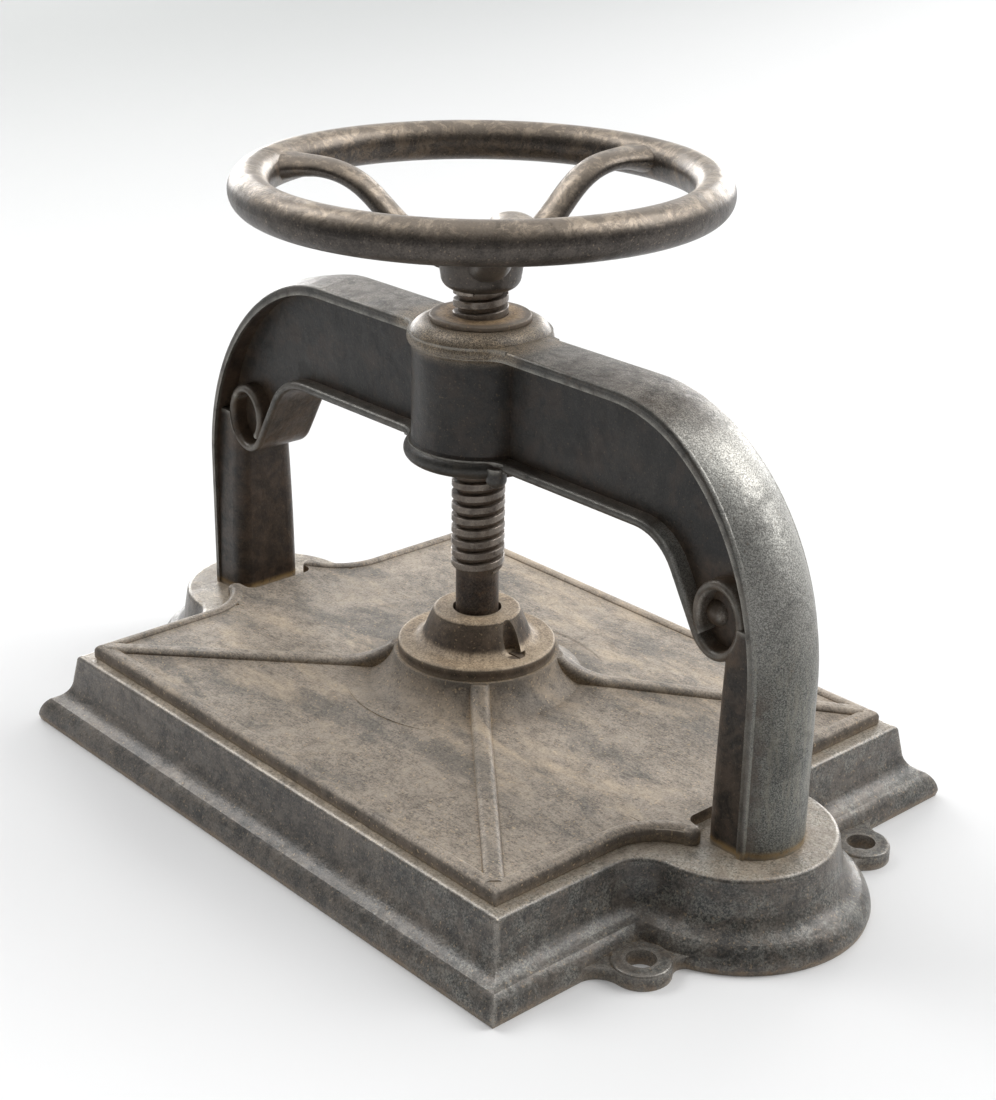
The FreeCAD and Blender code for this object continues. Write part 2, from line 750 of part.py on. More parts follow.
def bead_run():
    """Rounded bead along the front half of the platen's edge."""
    path = platen_edge()
    first = path.Edges[0]
    start = first.valueAt(first.FirstParameter)
    heading = first.tangentAt(first.FirstParameter)
    inward = Vector(heading.y, -heading.x, 0)
    section = chain(
        lambda inset, z: start + inward * inset + Vector(0, 0, z),
        (0, PLATEN_FOOT),
        (0, PLATEN_FOOT + 4),
        (1.3, PLATEN_BEAD_TOP - 1.4, 4.4, PLATEN_BEAD_TOP),
        (BEAD_WIDTH - 3.4, PLATEN_BEAD_TOP),
        (BEAD_WIDTH - 1, PLATEN_BEAD_TOP - 0.7, BEAD_WIDTH, PLATEN_BEAD_TOP - 2.4),
        (BEAD_WIDTH, PLATEN_FOOT),
        (0, PLATEN_FOOT),
    )
    return path.makePipeShell([section], True, False, 1)


def hip_roof():
    """Gently sloping top of the platen, from the bead up to the foot of the bell."""
    low_x = PLATEN_HALF_X - BEAD_WIDTH + 0.5
    low_y = PLATEN_HALF_Y - BEAD_WIDTH + 0.5
    high_y = HIP_HIGH_X * PLATEN_HALF_Y / PLATEN_HALF_X
    levels = []
    for half_x, half_y, z in ((low_x, low_y, HIP_LOW_Z), (HIP_HIGH_X, high_y, HIP_HIGH_Z)):
        level = rectangle(half_x, half_y)
        level.translate(Vector(0, 0, z))
        levels.append(level)
    return Part.makeLoft(levels, True, True)


def hip_rib(side_x, side_y):
    """Narrow rib along one hip, running up the bell to its top."""
    corner_r = math.hypot(PLATEN_HALF_X - BEAD_WIDTH + 2, PLATEN_HALF_Y - BEAD_WIDTH + 2)
    outline = chain(
        profile_space,
        (30, PLATEN_FOOT + 2),
        (corner_r, PLATEN_FOOT + 2),
        (corner_r, PLATEN_BEAD_TOP + 0.6),
        (88, 61.2),
        (65, 66.2, BELL_R + 2.6, BELL_TOP - 0.6),
        (BELL_R - 6, BELL_TOP - 0.6),
        (30, PLATEN_FOOT + 2),
    )
    rib = Part.Face(outline).extrude(Vector(0, HIP_RIB, 0))
    rib.translate(Vector(0, -HIP_RIB / 2, 0))
    boxes = [(edge, edge.BoundBox) for edge in rib.Edges]
    crest = [edge for edge, box in boxes
             if box.ZMin > PLATEN_BEAD_TOP - 1 and box.XLength > 10 and box.YLength < 1e-3]
    rib = rib.makeFillet(HIP_RIB_ROUND, crest)
    angle = math.degrees(math.atan2(side_y * PLATEN_HALF_Y, side_x * PLATEN_HALF_X))
    rib.rotate(ORIGIN, UP, angle)
    return rib


def tongue_tip(side_x, side_y):
    """Rounded end of one arm of the notch that straddles a column."""
    radius = (tongue_outer_y() - NOTCH_HALF) / 2
    centre = Vector(side_x * TONGUE_REACH, side_y * (NOTCH_HALF + radius), PLATEN_FOOT)
    tip = Part.makeCylinder(radius, PLATEN_BEAD_TOP - PLATEN_FOOT, centre)
    return tip.makeFillet(3.5, [tip.Edges[0]])


def platen_outline():
    """The platen's whole edge in plan, closed across the ends of the tongues."""
    front = platen_edge().Edges
    back = mirrored(platen_edge(), Vector(0, 1, 0)).Edges
    ends = []
    for side in SIDES:
        near = Vector(side * TONGUE_REACH, -tongue_outer_y(), 0)
        far = Vector(side * TONGUE_REACH, tongue_outer_y(), 0)
        ends.append(Part.makeLine(near, far))
    return Part.Wire(Part.__sortEdges__(front + back + ends))


def tongues():
    """The two ends that reach out to the columns, raised to the foot of the hipped top."""
    wide = rectangle(TONGUE_REACH + 5, TONGUE_BLOCK_HALF)
    inside = rectangle(TONGUE_BLOCK_X, TONGUE_BLOCK_HALF + 1)
    bar = plate(wide, PLATEN_FOOT, HIP_LOW_Z + 0.2).cut(plate(inside, PLATEN_FOOT, PLATEN_BEAD_TOP))
    return bar.common(plate(platen_outline(), PLATEN_FOOT, PLATEN_BEAD_TOP))


def bell():
    """Bell-shaped boss in the middle of the platen."""
    return turned(
        (0, PLATEN_FOOT + 1),
        (BELL_SPREAD_R, PLATEN_FOOT + 1),
        (BELL_SPREAD_R, 57.2),
        (57.5, 62.6, BELL_R + 0.6, BELL_TOP - 2),
        (BELL_R, BELL_TOP),
        (0, BELL_TOP),
    )


def column_notch(side):
    """The slot that straddles one column, rounded on its inner corners."""
    length = 60
    corner = Vector(side * (NOTCH_X + length / 2) - length / 2, -NOTCH_HALF, PLATEN_FOOT - 5)
    notch = Part.makeBox(length, 2 * NOTCH_HALF, 30, corner)
    inner = [edge for edge in upright_edges(notch) if abs(abs(edge.Vertexes[0].X) - NOTCH_X) < 1e-6]
    return notch.makeFillet(NOTCH_CORNER, inner)


def make_platen():
    """Pressing plate with bead, hipped top, bell-shaped boss, ribs and column notches."""
    run = bead_run()
    middle = plate(rectangle(PLATEN_HALF_X - 5, PLATEN_HALF_Y - 5), PLATEN_FOOT, HIP_LOW_Z)
    pieces = [middle, run, mirrored(run, Vector(0, 1, 0)), hip_roof(), bell(), tongues()]
    for side_x in SIDES:
        for side_y in SIDES:
            pieces.append(hip_rib(side_x, side_y))
            pieces.append(tongue_tip(side_x, side_y))
    platen = plate(platen_outline(), PLATEN_FOOT, PLATEN_FOOT + 4).fuse(pieces)
    cuts = [Part.makeCylinder(POCKET_R, 40, Vector(0, 0, POCKET_FLOOR))]
    for side in SIDES:
        cuts.append(column_notch(side))
        cuts.append(Part.makeCylinder(KEEPER_SCREW_R, 14, Vector(side * KEEPER_SCREW_X, 0, BELL_TOP - 13)))
    return platen.cut(cuts)


# ---------------------------------------------------------------- keeper and thrust parts

def make_keeper_collar():
    """Flanged keeper that holds the screw's thrust collar down in the platen."""
    keeper = turned(
        (KEEPER_BORE_R, KEEPER_FOOT),
        (KEEPER_R, KEEPER_FOOT),
        (KEEPER_R, KEEPER_FLANGE_TOP - 1.6),
        (KEEPER_R - 0.6, KEEPER_FLANGE_TOP - 0.5, KEEPER_R - 2, KEEPER_FLANGE_TOP),
        (39.5, KEEPER_FLANGE_TOP + 0.2),
        (34.6, KEEPER_FLANGE_TOP + 1.8, 31.8, KEEPER_FLANGE_TOP + 5.6),
        (29.6, KEEPER_FLANGE_TOP + 11.5, 26.6, KEEPER_TOP - 2),
        (25.8, KEEPER_TOP - 0.6, 24.2, KEEPER_TOP),
        (KEEPER_BORE_R, KEEPER_TOP),
    )
    for side in SIDES:
        at = Vector(side * KEEPER_SCREW_X, 0, KEEPER_FLANGE_TOP - 3.2)
        keeper = keeper.cut([
            Part.makeCylinder(5.6, 30, at + Vector(-side * 2.8, 0, 3.6)),
            Part.makeCone(KEEPER_SCREW_R + 0.1, 7.4, 4.2, at),
            Part.makeCylinder(KEEPER_SCREW_R + 0.1, 10, at - Vector(0, 0, 8)),
        ])
    return keeper


def make_keeper_screws():
    """Two countersunk slotted screws, one each side of the keeper's boss."""
    screws = []
    for side in SIDES:
        at = Vector(side * KEEPER_SCREW_X, 0, KEEPER_FLANGE_TOP - 3.2)
        head = Part.makeCone(KEEPER_SCREW_R, 5.6, 2.4, at)
        shank = Part.makeCylinder(KEEPER_SCREW_R, 15, at - Vector(0, 0, 15))
        slot = Part.makeBox(14, 1.2, 1.2, at + Vector(-7, -0.6, 1.4))
        screws.append(head.fuse(shank).cut(slot))
    return Part.makeCompound(screws)


def thrust_pin_z():
    """Height of the pin through the thrust collar."""
    return (POCKET_FLOOR + PAD + BELL_TOP) / 2


def make_thrust_collar():
    """Ring pinned to the screw's end, held down under the keeper."""
    ring = tube(THRUST_R, ROOT_R, POCKET_FLOOR + PAD + THRUST_GAP, KEEPER_FOOT - THRUST_GAP)
    return ring.cut(Part.makeCylinder(THRUST_PIN_R, 60, Vector(-30, 0, thrust_pin_z()), Vector(1, 0, 0)))


def make_thrust_pin():
    """Pin through the thrust collar and the screw."""
    half = THRUST_R - 1.5
    return Part.makeCylinder(THRUST_PIN_R, 2 * half, Vector(-half, 0, thrust_pin_z()), Vector(1, 0, 0))


def make_thrust_pad():
    """Hardened pad on the floor of the platen's pocket."""
    pad = Part.makeCylinder(POCKET_R, PAD, Vector(0, 0, POCKET_FLOOR))
    return pad.makeChamfer(0.8, [pad.Edges[0]])


# ---------------------------------------------------------------- column fixings

def at_studs(side_x, shape):
    """Copies of a shape drawn about the screw axis, at the two studs of one column."""
    copies = []
    for side_y in SIDES:
        copy = shape.copy()
        copy.translate(Vector(side_x * STUD_X, side_y * STUD_HALF_SPACING, 0))
        copies.append(copy)
    return Part.makeCompound(copies)


def make_column_studs(side_x):
    """Two studs, from below the nuts up into the column's foot."""
    foot = BED_TOP - BED_PLATE - WASHER - STUD_NUT - 3
    stud = Part.makeCylinder(STUD_R, BED_TOP + STUD_REACH - foot, Vector(0, 0, foot))
    return at_studs(side_x, stud.makeChamfer(0.8, [stud.Edges[0], stud.Edges[2]]))


def make_column_washers(side_x):
    """Two washers below the bed plate."""
    top = BED_TOP - BED_PLATE
    return at_studs(side_x, tube(STUD_WASHER_R, STUD_R + 0.3, top - WASHER, top))


def make_column_nuts(side_x):
    """Two nuts below the washers, flat side up."""
    top = BED_TOP - BED_PLATE - WASHER
    nut = hexagon_nut(STUD_NUT_FLATS, STUD_R, -top, -top + STUD_NUT)
    return at_studs(side_x, nut.mirror(ORIGIN, UP))


def make_column_dowel(side_x):
    """Dowel in the column's foot, down into the bed plate."""
    foot = BED_TOP - BED_PLATE + 0.5
    return Part.makeCylinder(DOWEL_R, BED_TOP + 11 - foot, Vector(side_x * DOWEL_X, 0, foot))


nodes = {
    "bed": make_bed(),
    "arch_frame": make_arch_frame(),
    "nut_bush": make_nut_bush(),
    "bush_lock_screw": make_bush_lock_screw(),
    "screw_spindle": make_screw_spindle(),
    "handwheel": make_handwheel(),
    "wheel_washer": make_wheel_washer(),
    "wheel_nut": make_wheel_nut(),
    "platen": make_platen(),
    "keeper_collar": make_keeper_collar(),
    "keeper_screws": make_keeper_screws(),
    "thrust_collar": make_thrust_collar(),
    "thrust_pin": make_thrust_pin(),
    "thrust_pad": make_thrust_pad(),
}
for side_name, side_x in (("left", -1), ("right", 1)):
    nodes[f"column_studs_{side_name}"] = make_column_studs(side_x)
    nodes[f"column_washers_{side_name}"] = make_column_washers(side_x)
    nodes[f"column_nuts_{side_name}"] = make_column_nuts(side_x)
    nodes[f"column_dowel_{side_name}"] = make_column_dowel(side_x)

os.makedirs("parts", exist_ok=True)
for name, shape in nodes.items():
    box = shape.BoundBox
    print(f"{name:22s} solids {len(shape.Solids)} valid {shape.isValid()} {shape.Volume / 1000:9.2f} cm3"
          f"  x {box.XMin:7.1f} {box.XMax:7.1f}  y {box.YMin:7.1f} {box.YMax:7.1f}"
          f"  z {box.ZMin:7.1f} {box.ZMax:7.1f}")
    shape.exportStep(f"parts/{name}.step")
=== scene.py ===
"""Looks, light and camera for the bookbinding press, in metres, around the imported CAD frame."""
import bpy
import math
from mathutils import Matrix, Vector

bpy.context.scene.view_settings.view_transform = "Standard"
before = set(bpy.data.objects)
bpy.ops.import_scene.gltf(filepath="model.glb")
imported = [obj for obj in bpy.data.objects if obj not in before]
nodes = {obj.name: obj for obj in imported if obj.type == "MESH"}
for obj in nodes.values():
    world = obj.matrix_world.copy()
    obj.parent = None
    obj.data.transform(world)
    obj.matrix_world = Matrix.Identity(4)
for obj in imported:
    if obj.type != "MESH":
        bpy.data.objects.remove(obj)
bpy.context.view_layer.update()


# ---------------------------------------------------------------- node graph helper

AO_SAMPLES = 4


class Graph:
    """Short calls for building one material's node tree."""

    def __init__(self, name):
        self.material = bpy.data.materials.new(name)
        self.material.use_nodes = True
        self.tree = self.material.node_tree
        self.tree.nodes.clear()
        self.coords = self.new("ShaderNodeTexCoord")
        self.place = self.coords.outputs["Object"]
        split = self.new("ShaderNodeSeparateXYZ")
        self.link(self.place, split.inputs[0])
        self.x, self.y, self.z = split.outputs
        facing = self.new("ShaderNodeSeparateXYZ")
        self.link(self.coords.outputs["Normal"], facing.inputs[0])
        self.nx, self.ny, self.nz = facing.outputs

    def new(self, kind):
        return self.tree.nodes.new(kind)

    def link(self, a, b):
        self.tree.links.new(a, b)

    def put(self, socket, value):
        if isinstance(value, bpy.types.NodeSocket):
            self.link(value, socket)
        elif isinstance(value, (tuple, list)) and len(value) == 3 and socket.type == "RGBA":
            socket.default_value = (*value, 1.0)
        else:
            socket.default_value = value

    def math(self, operation, a, b=0.0, clamp=False):
        node = self.new("ShaderNodeMath")
        node.operation = operation
        node.use_clamp = clamp
        self.put(node.inputs[0], a)
        self.put(node.inputs[1], b)
        return node.outputs[0]

    def add(self, a, b):
        return self.math("ADD", a, b)

    def mul(self, a, b):
        return self.math("MULTIPLY", a, b)

    def flip(self, a):
        return self.math("SUBTRACT", 1.0, a)

    def band(self, value, low, high, to_low=0.0, to_high=1.0):
        """Smooth step of a value from low to high."""
        node = self.new("ShaderNodeMapRange")
        node.interpolation_type = "SMOOTHSTEP"
        self.put(node.inputs["Value"], value)
        rising = low <= high
        node.inputs["From Min"].default_value = low if rising else high
        node.inputs["From Max"].default_value = high if rising else low
        node.inputs["To Min"].default_value = to_low if rising else to_high
        node.inputs["To Max"].default_value = to_high if rising else to_low
        return node.outputs["Result"]

    def mix(self, amount, a, b, blend="MIX"):
        node = self.new("ShaderNodeMix")
        node.data_type = "RGBA"
        node.blend_type = blend
        node.clamp_factor = True
        self.put(node.inputs[0], amount)
        self.put(node.inputs[6], a)
        self.put(node.inputs[7], b)
        return node.outputs[2]

    def stretched(self, scale, turn=0.0):
        """Object coordinates turned about Z and scaled unevenly."""
        node = self.new("ShaderNodeMapping")
        self.link(self.place, node.inputs["Vector"])
        node.inputs["Rotation"].default_value = (0, 0, turn)
        node.inputs["Scale"].default_value = scale
        return node.outputs["Vector"]

    def noise(self, size, detail=3.0, rough=0.55, warp=0.0, vector=None, shift=0.0):
        """Noise whose blotches are about size metres across."""
        node = self.new("ShaderNodeTexNoise")
        node.noise_dimensions = "4D"
        self.link(vector or self.place, node.inputs["Vector"])
        node.inputs["W"].default_value = shift
        node.inputs["Scale"].default_value = 1.0 / size
        node.inputs["Detail"].default_value = detail
        node.inputs["Roughness"].default_value = rough
        node.inputs["Distortion"].default_value = warp
        return node.outputs["Fac"]

    def crevice(self, reach):
        """1 in corners and joints, 0 on open surfaces."""
        node = self.new("ShaderNodeAmbientOcclusion")
        node.samples = AO_SAMPLES
        node.inputs["Distance"].default_value = reach
        return self.flip(node.outputs["AO"])

    def edge(self, reach):
        """1 on outside edges and tight curves, 0 on open surfaces."""
        node = self.new("ShaderNodeAmbientOcclusion")
        node.samples = AO_SAMPLES
        node.inside = True
        node.only_local = True
        node.inputs["Distance"].default_value = reach
        return self.band(self.flip(node.outputs["AO"]), 0.10, 0.38)

    def bumps(self, *layers):
        """Stacked bump layers, each (height, depth in metres)."""
        normal = None
        for height, depth in layers:
            node = self.new("ShaderNodeBump")
            node.inputs["Strength"].default_value = 1.0
            node.inputs["Distance"].default_value = depth
            self.link(height, node.inputs["Height"])
            if normal:
                self.link(normal, node.inputs["Normal"])
            normal = node.outputs["Normal"]
        return normal

    def surface(self, colour, rough, metallic, normal=None, specular=0.5):
        """Finish the material with a principled shader, kept as self.shader."""
        self.shader = self.new("ShaderNodeBsdfPrincipled")
        self.put(self.shader.inputs["Base Color"], colour)
        self.put(self.shader.inputs["Roughness"], rough)
        self.put(self.shader.inputs["Metallic"], metallic)
        self.shader.inputs["Specular IOR Level"].default_value = specular
        if normal:
            self.link(normal, self.shader.inputs["Normal"])
        out = self.new("ShaderNodeOutputMaterial")
        self.link(self.shader.outputs[0], out.inputs[0])
        return self.material


# ---------------------------------------------------------------- aged iron

MOTTLE = (0.36, 0.64)


def aged_iron(name, dark, light, dust, edge_tone, dust_amount=0.5, edge_amount=0.6, freckles=0.5,
              stains=0.4, scuffs=0.3, rough=0.5, metallic=0.35, specular=0.4, grain=0.5, pit=0.00012,
              seed=0.0, zones=None):
    """Old cast iron: mottled tone, fine grain, stains and scuffs, dust in corners, worn edges.

    zones(g, colour, middle, fine) recolours parts of the surface and says where bare metal shows.
    """
    g = Graph(name)
    broad = g.band(g.noise(0.060, 4, 0.6, 0.4, shift=seed), *MOTTLE)
    middle = g.band(g.noise(0.010, 6, 0.75, 0.4, shift=seed + 3), *MOTTLE)
    fine = g.noise(0.0012, 3, 0.8, shift=seed + 5)
    tone = g.add(g.mul(broad, 0.45), g.mul(middle, 0.55))
    tone = g.add(tone, g.mul(g.band(fine, *MOTTLE, -1.0, 1.0), grain))
    colour = g.mix(tone, dark, light)
    bare = 0.0
    if zones:
        colour, bare = zones(g, colour, middle, fine)
    stain = g.band(g.noise(0.026, 7, 0.78, 0.9, shift=seed + 8), 0.52, 0.62)
    colour = g.mix(g.mul(stain, stains), colour, tuple(0.45 * c for c in dark))
    scuff = g.band(g.noise(0.007, 7, 0.82, 1.2, shift=seed + 9), 0.57, 0.68)
    colour = g.mix(g.mul(scuff, scuffs), colour, edge_tone)
    corner = g.band(g.crevice(0.012), 0.16, 0.72)
    corner = g.mul(corner, g.band(g.noise(0.006, 5, 0.75, shift=seed + 2), 0.30, 0.60))
    shade = g.band(fine, 0.40, 0.60)
    settled = g.mix(shade, tuple(0.5 * c for c in dust), dust)
    colour = g.mix(g.mul(corner, dust_amount), colour, settled)
    worn = g.mul(g.edge(0.0035), g.band(g.noise(0.010, 5, 0.75, shift=seed + 7), 0.25, 0.58))
    colour = g.mix(g.mul(worn, edge_amount), colour, edge_tone)
    fleck = g.mul(g.band(g.noise(0.0015, 1, 0.5, shift=seed + 11), 0.64, 0.72), freckles)
    colour = g.mix(fleck, colour, tuple(min(1.0, 1.2 * c) for c in dust))
    roughness = g.add(rough - 0.12, g.mul(fine, 0.22))
    roughness = g.add(roughness, g.mul(corner, 0.30))
    roughness = g.add(roughness, g.mul(stain, 0.08))
    roughness = g.add(roughness, g.mul(bare, 0.10))
    roughness = g.math("SUBTRACT", roughness, g.mul(worn, 0.14), clamp=True)
    metal = g.add(metallic, g.mul(bare, 0.9 - metallic))
    metal = g.math("MAXIMUM", metal, g.mul(worn, 0.8 * edge_amount))
    metal = g.mul(metal, g.flip(g.mul(corner, 0.8)))
    normal = g.bumps(
        (g.noise(0.022, 3, 0.5, shift=seed + 13), 0.0012),
        (g.noise(0.0045, 5, 0.7, shift=seed + 15), pit * 3.0),
        (fine, pit),
    )
    return g.surface(colour, roughness, metal, normal, specular)


def paint(node, material):
    """Give a CAD node its material in every slot."""
    data = nodes[node].data
    if not data.materials:
        data.materials.append(material)
    for slot in nodes[node].material_slots:
        slot.material = material


def from_axis(g):
    """Distance from the screw's axis."""
    return g.math("SQRT", g.add(g.mul(g.x, g.x), g.mul(g.y, g.y)))


def arch_zones(g, colour, middle, fine):
    """Worn arm tops painted paler for their sheen, bared haunches painted with a pale highlight, speckled
    columns painted paler on their outer faces for the light on them, brown insides and rust at the feet.
    """
    out_x = g.mul(g.nx, g.math("SIGN", g.x))
    side_x = g.math("ABSOLUTE", g.x)
    side_y = g.math("ABSOLUTE", g.ny)
    away = g.band(side_x, 0.085, 0.15)
    grain = g.band(g.noise(0.0008, 4, 0.85, shift=19), 0.42, 0.60)
    # Arm tops: worn bare iron, also painted paler to stand in for the sheen of light glancing off them.
    top = g.mul(g.band(g.nz, 0.60, 0.92), g.band(g.z, 0.19, 0.235))
    bare_top_and_sheen = g.mix(grain, (0.10, 0.088, 0.074), (0.33, 0.30, 0.26))
    colour = g.mix(g.mul(top, g.band(middle, -0.6, 0.7)), colour, bare_top_and_sheen)
    shoulder = g.mul(g.band(from_axis(g), 0.062, 0.048), g.band(g.z, 0.262, 0.272))
    tint = g.band(g.noise(0.020, 5, 0.7, 0.5, shift=17), 0.46, 0.62)
    colour = g.mix(g.mul(tint, 0.6), colour, (0.046, 0.031, 0.022))
    dusty = g.mix(grain, (0.070, 0.056, 0.042), (0.44, 0.345, 0.235))
    colour = g.mix(g.mul(shoulder, g.add(0.55, g.mul(middle, 0.45))), colour, dusty)
    # Haunches: bared metal painted very pale, a painted highlight where the light from the back right
    # glances off the outward faces.
    haunch = g.mul(g.mul(g.band(out_x, 0.25, 0.60), g.band(g.z, 0.10, 0.215)), away)
    bare_haunch_highlight = g.mix(grain, (0.22, 0.217, 0.203), (0.68, 0.665, 0.615))
    colour = g.mix(g.mul(haunch, 0.85), colour, bare_haunch_highlight)
    # Outer faces of the columns: speckled and drip-streaked, and also painted paler to stand in for the
    # light falling on them.
    low = g.mul(g.mul(g.band(out_x, 0.40, 0.80), g.band(g.z, 0.20, 0.12)), away)
    upright = g.stretched((1, 1, 0.16))
    drip = g.band(g.noise(0.0035, 5, 0.75, 0.3, vector=upright, shift=27), 0.46, 0.62)
    column = g.mix(grain, (0.040, 0.042, 0.040), (0.30, 0.30, 0.262))
    column = g.mix(g.mul(drip, 0.55), column, (0.30, 0.28, 0.225))
    colour = g.mix(g.mul(low, 0.85), colour, column)
    inside = g.mul(g.band(out_x, -0.25, -0.75), away)
    brown = g.mix(middle, (0.030, 0.021, 0.016), (0.085, 0.056, 0.038))
    colour = g.mix(g.mul(inside, 0.75), colour, brown)
    legs = g.mul(g.band(g.z, 0.16, 0.13), g.band(side_y, 0.5, 0.8))
    colour = g.mix(g.mul(legs, g.mul(middle, 0.75)), colour, (0.080, 0.058, 0.043))
    scroll = g.mul(g.band(g.z, 0.140, 0.155), g.band(g.z, 0.205, 0.19))
    scroll = g.mul(scroll, g.band(side_x, 0.182, 0.192))
    scroll = g.mul(scroll, g.band(side_x, 0.232, 0.222))
    colour = g.mix(g.mul(scroll, g.add(0.25, g.mul(middle, 0.45))), colour, (0.105, 0.068, 0.042))
    ring = g.mul(g.band(g.z, 0.0520, 0.0470), g.band(g.noise(0.004, 4, 0.7, shift=23), 0.30, 0.48))
    colour = g.mix(g.mul(ring, 0.9), colour, (0.42, 0.265, 0.095))
    return colour, g.add(g.mul(haunch, 0.75), g.mul(top, 0.35))


def bed_zones(g, colour, middle, fine):
    """Pale worn rim and lobes, darker top where the platen presses, pale streaks that are partly painted
    sheen, painted sheen on the toe, greyer right end.
    """
    patch = g.band(g.noise(0.016, 6, 0.8, 0.8, shift=31), 0.44, 0.60)
    top = g.mul(g.band(g.nz, 0.6, 0.95), g.band(g.z, 0.043, 0.0455))
    worn = g.add(0.45, g.mul(patch, 0.55))
    lip = g.mix(g.mul(worn, g.band(fine, 0.28, 0.58)), (0.15, 0.124, 0.098), (0.66, 0.57, 0.455))
    # Streaks along the skirt: the pale ones are partly streaky finish and partly painted sheen, the dark
    # ones are darker tone.
    streak = g.noise(0.0065, 6, 0.75, 0.4, vector=g.stretched((0.15, 0.15, 1.0)), shift=37)
    colour = g.mix(g.mul(g.band(streak, 0.52, 0.64), 0.22), colour, (0.26, 0.245, 0.22))
    colour = g.mix(g.mul(g.band(streak, 0.46, 0.36), 0.45), colour, (0.022, 0.021, 0.019))
    covered = g.mul(g.band(g.math("ABSOLUTE", g.x), 0.190, 0.176),
                    g.band(g.math("ABSOLUTE", g.y), 0.154, 0.142))
    rubbed = g.mix(middle, (0.060, 0.050, 0.041), (0.120, 0.102, 0.084))
    colour = g.mix(g.mul(top, 0.9), colour, g.mix(covered, lip, rubbed))
    right = g.band(g.x, 0.05, 0.20)
    grey = g.mix(g.band(fine, 0.42, 0.60), (0.038, 0.044, 0.043), (0.30, 0.295, 0.26))
    colour = g.mix(g.mul(right, g.mul(patch, 0.55)), colour, grey)
    # Toe: painted sheen, pale patches standing in for light glancing off the convex toe; the same mask
    # also bares the metal there.
    toe = g.mul(g.band(g.z, 0.005, 0.011), g.band(g.z, 0.021, 0.014))
    toe = g.mul(toe, g.band(g.noise(0.045, 5, 0.7, 0.6, shift=35), 0.40, 0.56))
    colour = g.mix(g.mul(toe, g.add(0.05, g.mul(patch, 0.20))), colour, (0.30, 0.29, 0.27))
    rust = g.mul(g.band(g.z, 0.0060, 0.001), g.band(g.noise(0.009, 5, 0.75, shift=33), 0.42, 0.58))
    return g.mix(g.mul(rust, 0.8), colour, (0.20, 0.125, 0.065)), g.mul(toe, 0.4)


WIPING_TURN = math.radians(-47)


def platen_zones(g, colour, middle, fine):
    """Fine wiping streaks, slate-dark patches and tan patches; painted shade on the bell and the edge
    wall.
    """
    lie = g.stretched((0.20, 1.0, 1.0), WIPING_TURN)
    streak = g.band(g.noise(0.0012, 4, 0.75, vector=lie, shift=41), 0.40, 0.60)
    colour = g.mix(g.mul(streak, 0.5), colour, (0.43, 0.372, 0.302))
    wide_lie = g.stretched((0.42, 1.0, 1.0), WIPING_TURN)
    slate = g.band(g.noise(0.034, 6, 0.68, 0.5, vector=wide_lie, shift=43), 0.47, 0.62)
    slate = g.mul(slate, g.band(fine, 0.75, 0.30, 0.6, 1.0))
    colour = g.mix(g.mul(slate, 0.62), colour, (0.075, 0.076, 0.073))
    tan = g.band(g.noise(0.040, 6, 0.66, 0.5, vector=wide_lie, shift=47), 0.50, 0.66)
    colour = g.mix(g.mul(tan, g.band(fine, 0.25, 0.55, 0.2, 0.75)), colour, (0.55, 0.44, 0.32))
    # Bell flare: painted shade, darker near the keeper.
    colour = g.mix(g.mul(g.band(from_axis(g), 0.090, 0.055), 0.40), colour, (0.062, 0.052, 0.043))
    # Edge wall: painted shade, its steep faces made darker than the top because less light falls on them.
    wall = g.mul(g.band(g.nz, 0.75, 0.35), g.band(g.z, 0.057, 0.0545))
    shaded_wall_tone = g.mix(middle, (0.040, 0.032, 0.026), (0.125, 0.100, 0.080))
    return g.mix(g.mul(wall, 0.85), colour, shaded_wall_tone), 0.0


def bush_zones(g, colour, middle, fine):
    """Rust-tan ring next to the screw, dark rim."""
    rim = g.band(from_axis(g), 0.0235, 0.0268)
    return g.mix(g.mul(rim, 0.85), colour, (0.075, 0.062, 0.050)), g.mul(rim, 0.3)


def keeper_zones(g, colour, middle, fine):
    """Tan where dust can lie, dark brown on the walls, partly their own colour and partly painted shade.
    """
    # Walls: dark brown iron with painted shade, darker than the dusty tops because less light falls on
    # them.
    wall = g.band(g.nz, 0.80, 0.35)
    shaded_wall_tone = g.mix(middle, (0.020, 0.015, 0.012), (0.095, 0.066, 0.046))
    return g.mix(g.mul(wall, 0.92), colour, shaded_wall_tone), 0.0


def screw_zones(g, colour, middle, fine):
    """Dusty thread roots and rust along the neck."""
    root = g.mul(g.band(from_axis(g), 0.0152, 0.0135), g.band(g.z, 0.120, 0.135))
    colour = g.mix(g.mul(root, 0.45), colour, (0.15, 0.105, 0.068))
    patch = g.band(g.noise(0.006, 6, 0.8, 0.8, shift=61), 0.50, 0.62)
    return g.mix(g.mul(patch, 0.5), colour, (0.115, 0.066, 0.038)), 0.0


def wheel_zones(g, colour, middle, fine):
    """Dark hub, dry rust round the spokes' ends, pale dust on every upward face that also serves as
    painted highlight.
    """
    radius = from_axis(g)
    hub = g.band(radius, 0.060, 0.035)
    colour = g.mix(g.mul(hub, 0.5), colour, (0.045, 0.036, 0.029))
    roots = g.mul(g.band(radius, 0.085, 0.112), g.band(radius, 0.128, 0.116))
    patch = g.band(g.noise(0.012, 6, 0.8, 0.8, shift=67), 0.46, 0.60)
    # Upward faces: dust, laid on thick enough to act as a painted highlight on the rim tops.
    up = g.band(g.nz, 0.2, 0.8)
    colour = g.mix(g.mul(g.mul(roots, patch), 0.6), colour, (0.21, 0.155, 0.105))
    return g.mix(g.mul(up, g.add(0.38, g.mul(patch, 0.50))), colour, (0.44, 0.36, 0.275)), 0.0


